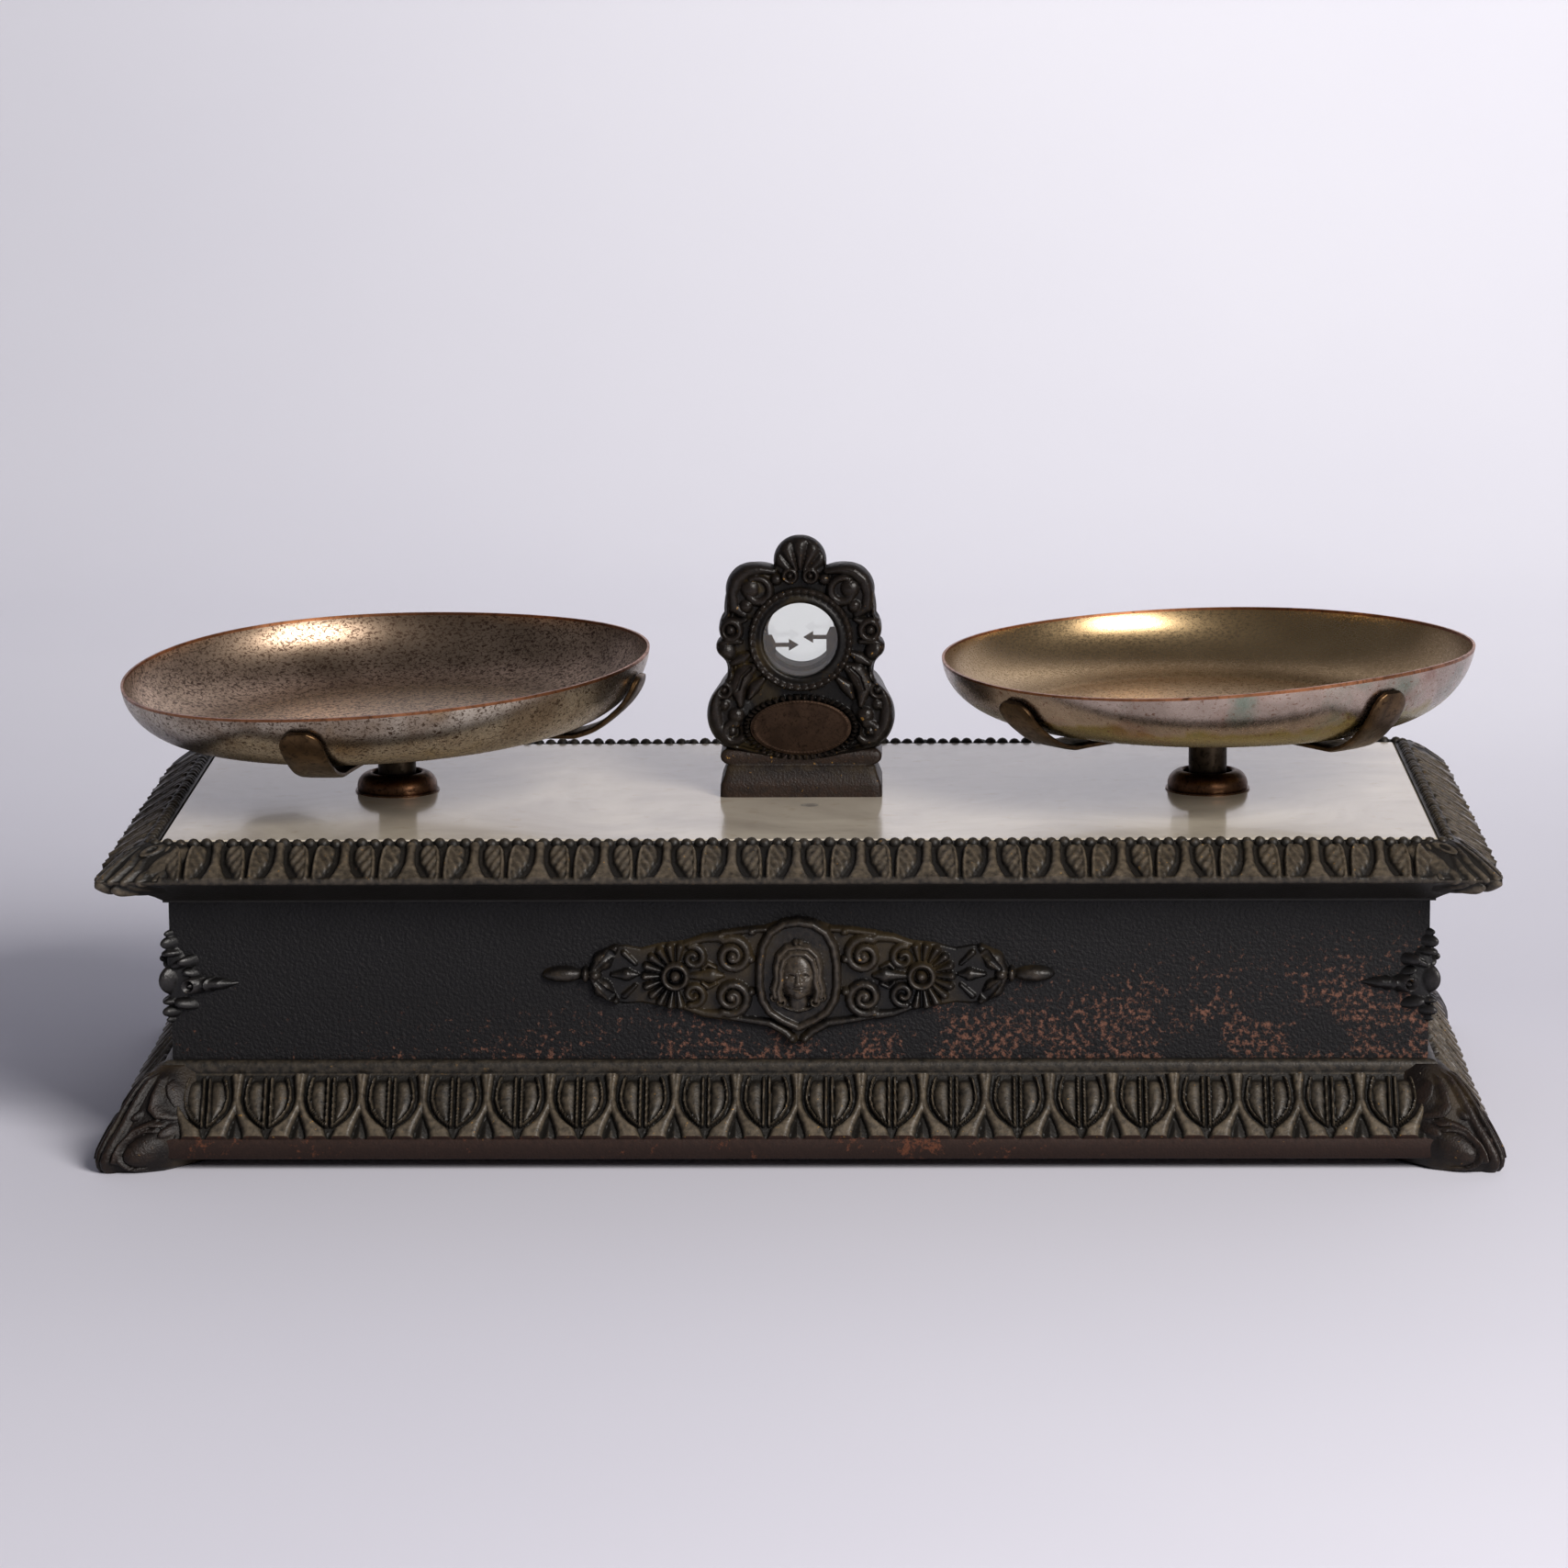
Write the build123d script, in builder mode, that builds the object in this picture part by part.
"""Counter scale with a closed lever train, a marble deck, a window tower and two lift-off pans.

Sizes are in millimetres. X runs along the front, Y from the front to the back, Z up from the counter,
and the origin lies on the counter under the middle of the case.
"""
import os
from math import asin, cos, degrees, hypot, radians, sin, tan

from build123d import *

os.makedirs("parts", exist_ok=True)

# Case: cast plinth, walls and cornice
CASE_LENGTH = 480.0  # over the outer faces of the end walls
CASE_DEPTH = 192.0  # over the outer faces of the front and rear walls
WALL = 5.0  # thickness of the cast walls
FOOT_LIFT = 4.7  # air under the plinth
STRIP_HEIGHT = 8.0  # plain strip at the bottom of the plinth
LEAF_HEIGHT = 20.1  # leaf moulding above it
BAND_HEIGHT = 5.7  # plain band under the wall
WALL_HEIGHT = 61.8
CORNICE_HEIGHT = 24.2  # from the top of the wall to the marble surface
LEDGE = 9.0  # plinth and cornice reach in this far from the wall's outer face
BAND_REACH = 2.5  # how far each member stands out from the wall's outer face
LEAF_TOP_REACH = 5.0
PLINTH_REACH = 23.0
PLINTH_SKIN = 5.0
LEAF_BULGE = 2.0
LEAF_LIP = 1.0  # small flats at the ends of the leaf moulding
LEAF_PITCH = 24.0  # one leaf of the plinth
LEAF_RISE = 2.0  # its petals and border above the slope
LEAF_ROOT = 1.0  # leaf forms let into the slope
FOOT_REACH = 27.5
FOOT_WIDTH = 25.5
FOOT_TOE = 3.5  # upright edge of the toe
FOOT_COVE = 3.0  # rounded inner edge of the foot
FOOT_SLACK = 1.0  # hollow of the foot's slope
CORNER_LEAF_WIDTH = 13.0
CORNER_LEAF_THICKNESS = 6.0
CORNICE_REACH = 24.5
CORNICE_TIP_DROP = 11.0  # top of the cornice tip below the marble surface
CORNICE_TIP = 2.5  # upright edge of the cornice tip
CORNICE_LIP = 2.0  # cornice over the wall's face
CORNICE_LEAF_PITCH = 24.4  # one pair of leaves of the cornice
CORNICE_LEAF_RISE = 2.0
CORNICE_FOLD = 3.0  # corner leaf above the mitre of the cornice
BEAD_RADIUS = 2.4
BEAD_RISE = 1.5  # bead above the marble surface

# Fixings of the case
BOLT_RADIUS = 2.9
BOLT_HEAD_RADIUS = 5.5
BOLT_HEAD_HEIGHT = 4.0
BOLT_INSET = 7.0  # from the inner faces of the walls
BOLT_BOSS_RADIUS = 8.0
SCREW_RADIUS = 2.0
SCREW_HEAD_RADIUS = 3.8
SCREW_HEAD_HEIGHT = 2.0
FIXING_CLEARANCE = 0.1
PLATE_THICKNESS = 3.0
PLATE_CLEARANCE = 0.4
PLATE_BOSS_RADIUS = 5.0
PLATE_BOSS_REACH = 4.0
PLATE_SCREW_INSET = 20.0  # outer screws of the base plate, from the case's ends
SCREW_END_GAP = 1.0  # end of a screw to the bottom of its hole

# Marble deck
MARBLE_THICKNESS = 12.0
MARBLE_REACH = 2.5  # marble edge beyond the wall's outer face
MARBLE_CLEARANCE = 0.2
MARBLE_ARRIS = 0.8
PLUG_RADIUS = 3.5
PLUG_X = 3.6
PLUG_Y = -32.0
PLUG_DEPTH = 6.0

# Window tower
TOWER_HEIGHT = 103.4  # above the marble
TOWER_HALF_LENGTH = 36.8  # at its widest
TOWER_DEPTH = 28.0
TOWER_FOOT_LENGTH = 63.6
TOWER_FOOT_DEPTH = 33.0
TOWER_FOOT_HEIGHT = 18.8
TOWER_FOOT_INSET = 3.0  # waist of the moulded foot
TOWER_EDGE = 2.0  # bevel round the tower's outline
TOWER_SINK = 2.0  # tower body let into its foot
TOWER_CAVITY_LENGTH = 42.0
TOWER_CAVITY_DEPTH = 16.0
TOWER_CAVITY_HEIGHT = 82.0
TOWER_SCREW_X = 26.5
TOWER_SCREW_ENTRY = 12.0
WINDOW_HEIGHT = 62.5  # window centre above the marble
WINDOW_RADIUS = 13.9
BACK_WINDOW_RADIUS = 12.4
BEZEL_RADIUS = 19.6
BEZEL_RISE = 2.6
GLASS_RADIUS = 15.4
GLASS_THICKNESS = 2.0
GLASS_CLEARANCE = 0.1
PLAQUE_HEIGHT = 27.6  # plaque centre above the marble
PLAQUE_HALF_LENGTH = 19.9
PLAQUE_HALF_HEIGHT = 11.0
PLAQUE_THICKNESS = 1.0
PLAQUE_RIM = 2.2  # width of the cast border
PLAQUE_RISE = 1.8  # border above the tower's face

# Lever train
BEAM_ROOM = 20.0  # from the beam's end knives to the end walls
CARRIER_SPAN = 110.0  # between the two knives that carry a pan carrier
SUB_INSET = 10.0  # from a beam end knife in to the knife on which the sub-lever turns
STEM_INSET = 54.5  # from a beam end knife in to the stem
SUB_ROOM = 4.3  # sub-lever above the foot of its stand
BRIDGE_CLEARANCE = 1.25  # link bridge to the beam above it and the sub-lever below it
CARRIER_ROOM = 9.5  # carrier boss below the marble when level
REST_DROP = 1.55  # the left pan rests this far below level, and the right pan above it
BAR_THICKNESS = 8.0
BEAM_MIDDLE_RADIUS = 14.0
BEAM_END_RADIUS = 10.0
SUB_END_RADIUS = 9.0
KNIFE_HALF_WIDTH = 4.0
KNIFE_FLANK = 7.0
KNIFE_DEPTH = 10.0
KNIFE_SEAT_CLEARANCE = 0.05
KNIFE_GAP = 0.1  # between an edge and the bearing that turns with it
LOOSE_KNIFE_GAP = 0.35  # between an edge and a bearing whose path differs a little
BEARING_HALF_ANGLE = 70.0
BEARING_LENGTH = 14.0
BEARING_BACK = 6.0
BEARING_SKIRT = 2.0
PRONG_INNER = 11.0  # prongs and bearings run from here to PRONG_OUTER on each side of the bar
PRONG_OUTER = 17.0
KNIFE_REACH = 19.0
LINK_INNER = 7.0
LINK_OUTER = 10.0
LINK_KNIFE_REACH = 12.5
LINK_WIDTH = 21.0
EYE_WIDTH = 14.0
EYE_DEPTH = 13.0
EYE_WALL = 8.0
LINK_BRIDGE = 2.5
LINK_CORNER = 6.0
BEAM_WINDOW = 9.0  # height of the openings in the beam's arms
CARRIER_HEIGHT = 8.0
CARRIER_DEPTH = 16.0
CARRIER_END = 8.0  # bar beyond the knife lines
STEM_BOSS_RADIUS = 12.0
STEM_BOSS_LIP = 4.0  # boss below the carrier bar
STEM_BOSS_RISE = 1.0
STEM_END = 1.0  # stem thread below its nut
STAND_FOOT = 4.0
STAND_FOOT_LENGTH = 34.0
STAND_FOOT_DEPTH = 56.0
STAND_SCREW_Y = 22.0
STAND_FOOT_WALL = 14.0  # half width of an upright at its foot
STAND_WEB = 8.0
STOP_X = 60.0
STOP_RADIUS = 5.0
STOP_FOOT_RADIUS = 9.0
STOP_FOOT_HEIGHT = 4.0
STOP_GAP = 0.4
TILT_LIMIT = 1.6  # degrees of beam tilt each way from level

# Pans, spiders, stems, collars and pointers
STEM_RADIUS = 7.55
STEM_SPIGOT_RADIUS = 5.0
STEM_RIVET_RADIUS = 4.0
STEM_RIVET_HEAD = 6.0
STEM_RIVET_RISE = 0.6
NUT_WIDTH = 16.0
NUT_HEIGHT = 6.0
COLLAR_RADIUS = 16.6  # thin flange on the marble
COLLAR_DOME_RADIUS = 15.6
COLLAR_BORE = 9.8
COLLAR_HEIGHT = 7.8
COLLAR_BULGE = 2.2
COLLAR_SPIGOT_RADIUS = 12.5
COLLAR_SPIGOT_LENGTH = 8.0
COLLAR_RIM = 0.6
PAN_RADIUS = 102.7
PAN_DEPTH = 27.5
PAN_FLOOR_RADIUS = 68.0
PAN_SHEET = 1.0
PAN_HEIGHT = 150.0  # underside of a level pan above the counter
PAN_CLEARANCE = 0.3
LEFT_PAN_SINK = 1.1  # the left spider is bent: its pan sits lower, off centre and leaning
LEFT_PAN_SHIFT = -3.3
LEFT_PAN_LEAN_X = 2.4  # degrees, outer end down
LEFT_PAN_LEAN_Y = 1.2  # degrees, front down
RIGHT_PAN_SHIFT = -1.5
HUB_RADIUS = 15.0
HUB_THICKNESS = 3.5
HUB_DROP = 2.6  # hub top below the pan
ARM_WIDTH = 18.0
ARM_THICKNESS = 2.5
ARM_DROP = 0.6  # arm below the hub's top where it bends
ARM_STANDOFF = 2.0  # bend of the arm away from the pan's wall
ARM_TAB = 17.5  # tab top above the pan's underside
ARM_CORNER = 4.0
LEFT_ARM_ANGLE = 12.0
RIGHT_ARM_ANGLE = 90.0
ARM_COUNT = 3
POINTER_THICKNESS = 1.5
POINTER_INNER = 10.0  # inner edge of the upright blade from the middle of the window
POINTER_WIDTH = 7.0
POINTER_STRIP = 6.0
POINTER_TIP = 1.0
POINTER_HEIGHT = 59.75  # arrow above the marble when level
POINTER_RISE = 4.0  # blade above the arrow
POINTER_HEAD = 3.8
POINTER_SPREAD = 2.3
POINTER_SHAFT = 1.5
POINTER_LAP = 10.0
RIVET_RADIUS = 1.25

# Cast ornaments
ORNAMENT_HEIGHT = 71.0  # centre line of the front cartouche and the corner ornaments
CARTOUCHE_HALF_LENGTH = 97.7
CARTOUCHE_PLATE = 3.0
SHIELD_HALF_WIDTH = 16.0
SHIELD_HALF_HEIGHT = 21.0
SHIELD_RISE = 7.0
VOLUTE_X = 25.0
VOLUTE_Z = 8.0
VOLUTE_RADIUS = 6.6
VOLUTE_RISE = 2.5
ROSETTE_X = 46.5
ROSETTE_RADIUS = 13.0
ROSETTE_EYE = 5.6
CALYX_X = 67.0
CALYX_RADIUS = 9.0
SPEAR_RADIUS = 3.2
DROP_Z = 25.7  # point below the shield
CORNER_RADIUS = 6.5
CORNER_HALF_HEIGHT = 18.0
CORNER_ARM = 24.0
CORNER_BUTTON_X = 11.0
CORNER_BUTTON_RADIUS = 5.5
CORNER_PLATE = 3.0

# Levels above the counter
STRIP_BOTTOM = FOOT_LIFT
LEAF_BOTTOM = STRIP_BOTTOM + STRIP_HEIGHT
LEAF_TOP = LEAF_BOTTOM + LEAF_HEIGHT
SEAM = LEAF_TOP + BAND_HEIGHT
WALL_TOP = SEAM + WALL_HEIGHT
DECK = WALL_TOP + CORNICE_HEIGHT
MARBLE_BOTTOM = DECK - MARBLE_THICKNESS
PLATE_TOP = STRIP_BOTTOM + PLATE_THICKNESS

# Places worked out from the sizes above
HALF_LENGTH = CASE_LENGTH / 2
HALF_DEPTH = CASE_DEPTH / 2
BOLT_X = HALF_LENGTH - WALL - BOLT_INSET
BOLT_Y = HALF_DEPTH - WALL - BOLT_INSET
BOLT_SEAT = LEAF_TOP - BOLT_HEAD_HEIGHT
PLATE_REACH = PLINTH_REACH - PLINTH_SKIN - PLATE_CLEARANCE
PLATE_SCREW_X = HALF_LENGTH - PLATE_SCREW_INSET
PLATE_SCREWS = [(x, y * (HALF_DEPTH + PLATE_BOSS_REACH))
                for x in (-PLATE_SCREW_X, 0, PLATE_SCREW_X) for y in (-1, 1)]
BEAM_ARM = HALF_LENGTH - WALL - BEAM_ROOM  # middle of the scale to a beam end knife
INNER_KNIFE_X = BEAM_ARM - CARRIER_SPAN  # to the sub-lever knife under a carrier's inner leg
SUB_FULCRUM_X = BEAM_ARM - SUB_INSET
STEM_X = BEAM_ARM - STEM_INSET
SUB_ARM = SUB_FULCRUM_X - INNER_KNIFE_X
LINK_X = BEAM_ARM * SUB_FULCRUM_X / (SUB_ARM + BEAM_ARM)
STAND_SCREWS = [(x, y * STAND_SCREW_Y) for x in (-SUB_FULCRUM_X, 0, SUB_FULCRUM_X) for y in (-1, 1)]
STAND_TOP = PLATE_TOP + STAND_FOOT
SUB_HEIGHT = STAND_TOP + SUB_ROOM + KNIFE_DEPTH / 2 + SUB_END_RADIUS  # its line of knife edges
SUB_CREST = SUB_HEIGHT + KNIFE_DEPTH / 2 + SUB_END_RADIUS
BEAM_UNDERSIDE = SUB_CREST + LINK_BRIDGE + 2 * BRIDGE_CLEARANCE
BEAM_HEIGHT = BEAM_UNDERSIDE + KNIFE_DEPTH / 2 + BEAM_END_RADIUS  # its line of knife edges
CARRIER_RISE = MARBLE_BOTTOM - CARRIER_ROOM - STEM_BOSS_RISE - CARRIER_HEIGHT - BEAM_HEIGHT
REST_TILT = degrees(asin(REST_DROP / BEAM_ARM))
SUB_TILT = degrees(asin(REST_DROP / SUB_ARM))
PAN_WALL_RADIUS = ((PAN_RADIUS - PAN_FLOOR_RADIUS) ** 2 + PAN_DEPTH ** 2) / (2 * PAN_DEPTH)
CORNER_LEAF_RUN = [(BAND_REACH, SEAM - CORNER_LEAF_THICKNESS / 2),
                   (LEAF_TOP_REACH + PLINTH_REACH / 3, (LEAF_TOP + LEAF_BOTTOM) / 2 + LEAF_BULGE),
                   (FOOT_REACH - CORNER_LEAF_THICKNESS / 2, FOOT_TOE)]
LEAF_START = (LEAF_TOP_REACH, LEAF_TOP)  # sloping faces, as reach beyond the wall and height
LEAF_END = (PLINTH_REACH - LEAF_LIP, LEAF_BOTTOM)
CORNICE_START = (MARBLE_REACH + MARBLE_CLEARANCE + 2 * BEAD_RADIUS, DECK + BEAD_RISE - BEAD_RADIUS)
CORNICE_END = (CORNICE_REACH, DECK - CORNICE_TIP_DROP)
CORNICE_FOLD_RUN = [(CORNICE_START[0] + CORNICE_FOLD, CORNICE_START[1] - CORNICE_FOLD),
                    ((CORNICE_START[0] + CORNICE_END[0]) / 2 + CORNICE_FOLD / 2,
                     (CORNICE_START[1] + CORNICE_END[1]) / 2),
                    (CORNICE_REACH - CORNICE_FOLD / 2, CORNICE_END[1] - CORNICE_TIP)]
SIDES = {"left": -1, "right": 1}
CORNERS = {"front_left": (-1, -1), "front_right": (1, -1), "rear_left": (-1, 1), "rear_right": (1, 1)}


def keep(builder, label):
    """Name a finished piece and write it."""
    builder.part.label = label
    export_step(builder.part, f"parts/{label}.step")


def side_plane(x, z, tilt=0.0):
    """Upright plane through (x, z), seen from the front, turned by tilt degrees with its right end down."""
    turn = radians(tilt)
    return Plane(origin=(x, 0, z), x_dir=(cos(turn), 0, -sin(turn)), z_dir=(0, -1, 0))


def moulding(outline):
    """Carry an outline of (reach, height) points round the case with mitred corners."""
    section_plane = Plane(origin=(0, -HALF_DEPTH, 0), x_dir=(0, -1, 0), z_dir=(-1, 0, 0))
    with BuildLine() as run:
        Polyline((0, -HALF_DEPTH), (HALF_LENGTH, -HALF_DEPTH), (HALF_LENGTH, HALF_DEPTH),
                 (-HALF_LENGTH, HALF_DEPTH), (-HALF_LENGTH, -HALF_DEPTH), close=True)
    with BuildSketch(section_plane) as section:
        with BuildLine():
            outline()
        make_face()
    sweep(sections=section.sketch, path=run.wires()[0], transition=Transition.RIGHT)


def bulged_arc(start, end, bulge):
    """Arc from start to end whose middle stands off the chord, to the left of its direction."""
    chord = Vector(*end) - Vector(*start)
    left = Vector(-chord.Y, chord.X).normalized()
    middle = (Vector(*start) + Vector(*end)) * 0.5 + left * bulge
    ThreePointArc(start, middle, end)


def sloping_plane(turn, start, end):
    """Plane on the slope from start to end, each a reach and a height, of the side at this turn from the front."""
    out = Vector(0, -1, 0).rotate(Axis.Z, turn)
    half_span = HALF_LENGTH if turn % 180 else HALF_DEPTH
    middle = out * (half_span + (start[0] + end[0]) / 2) + Vector(0, 0, (start[1] + end[1]) / 2)
    normal = out * (start[1] - end[1]) + Vector(0, 0, end[0] - start[0])
    return Plane(origin=middle, x_dir=Vector(1, 0, 0).rotate(Axis.Z, turn), z_dir=normal)


def leaf_row(start, end, pitch, rise, at_middle, at_joint):
    """Cast leaf forms along the four slopes: one sketch in every pitch and the other where two pitches meet."""
    for turn in (0, 90, 180, 270):
        half_span = (HALF_DEPTH if turn % 180 else HALF_LENGTH) + start[0]
        count = 2 * int(half_span / pitch)
        with BuildSketch(sloping_plane(turn, start, end).offset(-LEAF_ROOT)) as row:
            with GridLocations(pitch, pitch, count, 1):
                add(at_middle.sketch)
            with GridLocations(pitch, pitch, count + 1, 1):
                add(at_joint.sketch)
        extrude(row.sketch, amount=rise + LEAF_ROOT)


# Leaf of the plinth: two petals, and the border that runs between one leaf and the next
def leaf_point(across, down):
    """Point of a plinth leaf, as shares of half its pitch and of the slope, from the top of the slope."""
    slope = hypot(LEAF_END[0] - LEAF_START[0], LEAF_END[1] - LEAF_START[1])
    return (across * LEAF_PITCH / 2, (0.5 - down) * slope)


with BuildSketch() as leaf_petals:
    with BuildLine():
        Line(leaf_point(0.06, 0.03), leaf_point(0.62, 0.03))
        ThreePointArc(leaf_point(0.62, 0.03), leaf_point(0.66, 0.4), leaf_point(0.09, 0.77))
        Line(leaf_point(0.09, 0.77), leaf_point(0.06, 0.03))
    make_face()
    mirror(about=Plane.YZ)

with BuildSketch() as leaf_border:
    with BuildLine():
        Polyline(leaf_point(0, 0.03), leaf_point(0.25, 0.03), leaf_point(0.23, 0.32))
        ThreePointArc(leaf_point(0.23, 0.32), leaf_point(0.47, 0.6), leaf_point(0.9, 0.86))
        Polyline(leaf_point(0.9, 0.86), leaf_point(0.94, 1), leaf_point(0.08, 1), leaf_point(0.38, 0.77))
        ThreePointArc(leaf_point(0.38, 0.77), leaf_point(0.22, 0.55), leaf_point(0, 0.34))
        mirror(about=Plane.YZ)
    make_face()


# Plinth casting with its four feet
def plinth_outline():
    Polyline((-LEDGE, LEAF_TOP), (-LEDGE, SEAM), (BAND_REACH, SEAM), (BAND_REACH + LEAF_LIP, LEAF_TOP),
             LEAF_START, LEAF_END, (PLINTH_REACH, LEAF_BOTTOM), (PLINTH_REACH, STRIP_BOTTOM),
             (PLINTH_REACH - PLINTH_SKIN, STRIP_BOTTOM), (PLINTH_REACH - PLINTH_SKIN, LEAF_BOTTOM),
             (-LEDGE, LEAF_TOP))


def foot_outline():
    heel = FOOT_REACH - FOOT_WIDTH
    top = LEAF_BOTTOM + FOOT_COVE
    Polyline((heel, STRIP_BOTTOM - FOOT_COVE), (heel, 0), (FOOT_REACH, 0), (FOOT_REACH, FOOT_TOE))
    bulged_arc((FOOT_REACH, FOOT_TOE), (PLINTH_REACH - FOOT_COVE, top), -FOOT_SLACK)
    Polyline((PLINTH_REACH - FOOT_COVE, top), (heel - FOOT_COVE, top), (heel - FOOT_COVE, STRIP_BOTTOM))
    bulged_arc((heel - FOOT_COVE, STRIP_BOTTOM), (heel, STRIP_BOTTOM - FOOT_COVE), FOOT_COVE / 4)


foot_span = 2 * (FOOT_WIDTH + FOOT_REACH)
with BuildPart() as foot:
    with BuildSketch(Plane(origin=(HALF_LENGTH, HALF_DEPTH, 0), x_dir=(1, 0, 0), z_dir=(0, -1, 0))):
        with BuildLine():
            foot_outline()
        make_face()
    extrude(amount=foot_span, both=True)
    with BuildSketch(Plane(origin=(HALF_LENGTH, HALF_DEPTH, 0), x_dir=(0, 1, 0), z_dir=(1, 0, 0))):
        with BuildLine():
            foot_outline()
        make_face()
    extrude(amount=foot_span, both=True, mode=Mode.INTERSECT)
    pocket = PLINTH_REACH - PLINTH_SKIN
    with BuildSketch(Plane.XY.offset(STRIP_BOTTOM)):
        Rectangle(CASE_LENGTH + 2 * pocket, CASE_DEPTH + 2 * pocket)
    extrude(amount=LEAF_HEIGHT, mode=Mode.SUBTRACT)
    with BuildLine() as leaf_rib:
        ThreePointArc(*[(HALF_LENGTH + reach, HALF_DEPTH + reach, height) for reach, height in CORNER_LEAF_RUN])
    with BuildSketch(Plane(leaf_rib.line @ 0, x_dir=(1, -1, 0), z_dir=leaf_rib.line % 0)):
        Ellipse(CORNER_LEAF_WIDTH / 2, CORNER_LEAF_THICKNESS / 2)
    sweep(path=leaf_rib.wires()[0])

with BuildPart() as base_plinth:
    moulding(plinth_outline)
    leaf_row(LEAF_START, LEAF_END, LEAF_PITCH, LEAF_RISE, leaf_petals, leaf_border)
    with BuildSketch(Plane.XY.offset(PLATE_TOP)):
        with Locations(*PLATE_SCREWS):
            Circle(PLATE_BOSS_RADIUS)
    extrude(amount=(LEAF_BOTTOM + LEAF_TOP) / 2 - PLATE_TOP)
    with BuildSketch(Plane.XY.offset(BOLT_SEAT)):
        with GridLocations(2 * BOLT_X, 2 * BOLT_Y, 2, 2):
            Circle(BOLT_BOSS_RADIUS)
    extrude(amount=SEAM - BOLT_SEAT)
    for turn in (0, 180):
        add(foot.part.rotate(Axis.Z, turn))
        add(foot.part.mirror(Plane.YZ).rotate(Axis.Z, turn))
    with BuildSketch(Plane.XY.offset(PLATE_TOP)):
        with Locations(*PLATE_SCREWS):
            Circle(SCREW_RADIUS + FIXING_CLEARANCE)
    extrude(amount=STRIP_HEIGHT, mode=Mode.SUBTRACT)
    with BuildSketch(Plane.XY.offset(BOLT_SEAT)):
        with GridLocations(2 * BOLT_X, 2 * BOLT_Y, 2, 2):
            Circle(BOLT_RADIUS + FIXING_CLEARANCE)
    extrude(amount=SEAM - BOLT_SEAT, mode=Mode.SUBTRACT)
keep(base_plinth, "base_plinth")

# Base plate under the lever train, and its screws
with BuildPart() as base_plate:
    with BuildSketch(Plane.XY.offset(STRIP_BOTTOM)):
        Rectangle(CASE_LENGTH + 2 * PLATE_REACH, CASE_DEPTH + 2 * PLATE_REACH)
        with Locations(*PLATE_SCREWS, *STAND_SCREWS):
            Circle(SCREW_RADIUS + FIXING_CLEARANCE, mode=Mode.SUBTRACT)
    extrude(amount=PLATE_THICKNESS)
keep(base_plate, "base_plate")

with BuildPart() as base_plate_screws:
    with BuildSketch(Plane.XY.offset(STRIP_BOTTOM - SCREW_HEAD_HEIGHT)):
        with Locations(*PLATE_SCREWS):
            Circle(SCREW_HEAD_RADIUS)
    extrude(amount=SCREW_HEAD_HEIGHT)
    with BuildSketch(Plane.XY.offset(STRIP_BOTTOM)):
        with Locations(*PLATE_SCREWS):
            Circle(SCREW_RADIUS)
    extrude(amount=PLATE_THICKNESS + STRIP_HEIGHT - SCREW_END_GAP)
keep(base_plate_screws, "base_plate_screws")

# Four cast walls in one frame, with bosses for the tie bolts
with BuildPart() as case_walls:
    with BuildSketch(Plane.XY.offset(SEAM)):
        Rectangle(CASE_LENGTH, CASE_DEPTH)
        Rectangle(CASE_LENGTH - 2 * WALL, CASE_DEPTH - 2 * WALL, mode=Mode.SUBTRACT)
        with GridLocations(2 * BOLT_X, 2 * BOLT_Y, 2, 2):
            Circle(BOLT_BOSS_RADIUS)
            Circle(BOLT_RADIUS + FIXING_CLEARANCE, mode=Mode.SUBTRACT)
    extrude(amount=WALL_HEIGHT)
keep(case_walls, "case_walls")


# Leaves of the cornice: a pair of half leaves, and the bell between one pair and the next
def fold_point(across, down):
    """Point of a cornice leaf, as shares of half its pitch and of the slope, from the top of the slope."""
    slope = hypot(CORNICE_END[0] - CORNICE_START[0], CORNICE_END[1] - CORNICE_START[1])
    return (across * CORNICE_LEAF_PITCH / 2, (0.5 - down) * slope)


with BuildSketch() as fold_leaves:
    with BuildLine():
        Line(fold_point(0.05, 0.95), fold_point(0.05, 0.5))
        ThreePointArc(fold_point(0.05, 0.5), fold_point(0.2, 0.16), fold_point(0.5, 0.05))
        Line(fold_point(0.5, 0.05), fold_point(0.78, 0.05))
        ThreePointArc(fold_point(0.78, 0.05), fold_point(0.7, 0.45), fold_point(0.4, 0.95))
        Line(fold_point(0.4, 0.95), fold_point(0.05, 0.95))
    make_face()
    mirror(about=Plane.YZ)

with BuildSketch() as fold_bell:
    with BuildLine():
        Line(fold_point(0, 0.05), fold_point(0.15, 0.05))
        ThreePointArc(fold_point(0.15, 0.05), fold_point(0.19, 0.5), fold_point(0.42, 0.97))
        Line(fold_point(0.42, 0.97), fold_point(0, 0.97))
        mirror(about=Plane.YZ)
    make_face()


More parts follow.
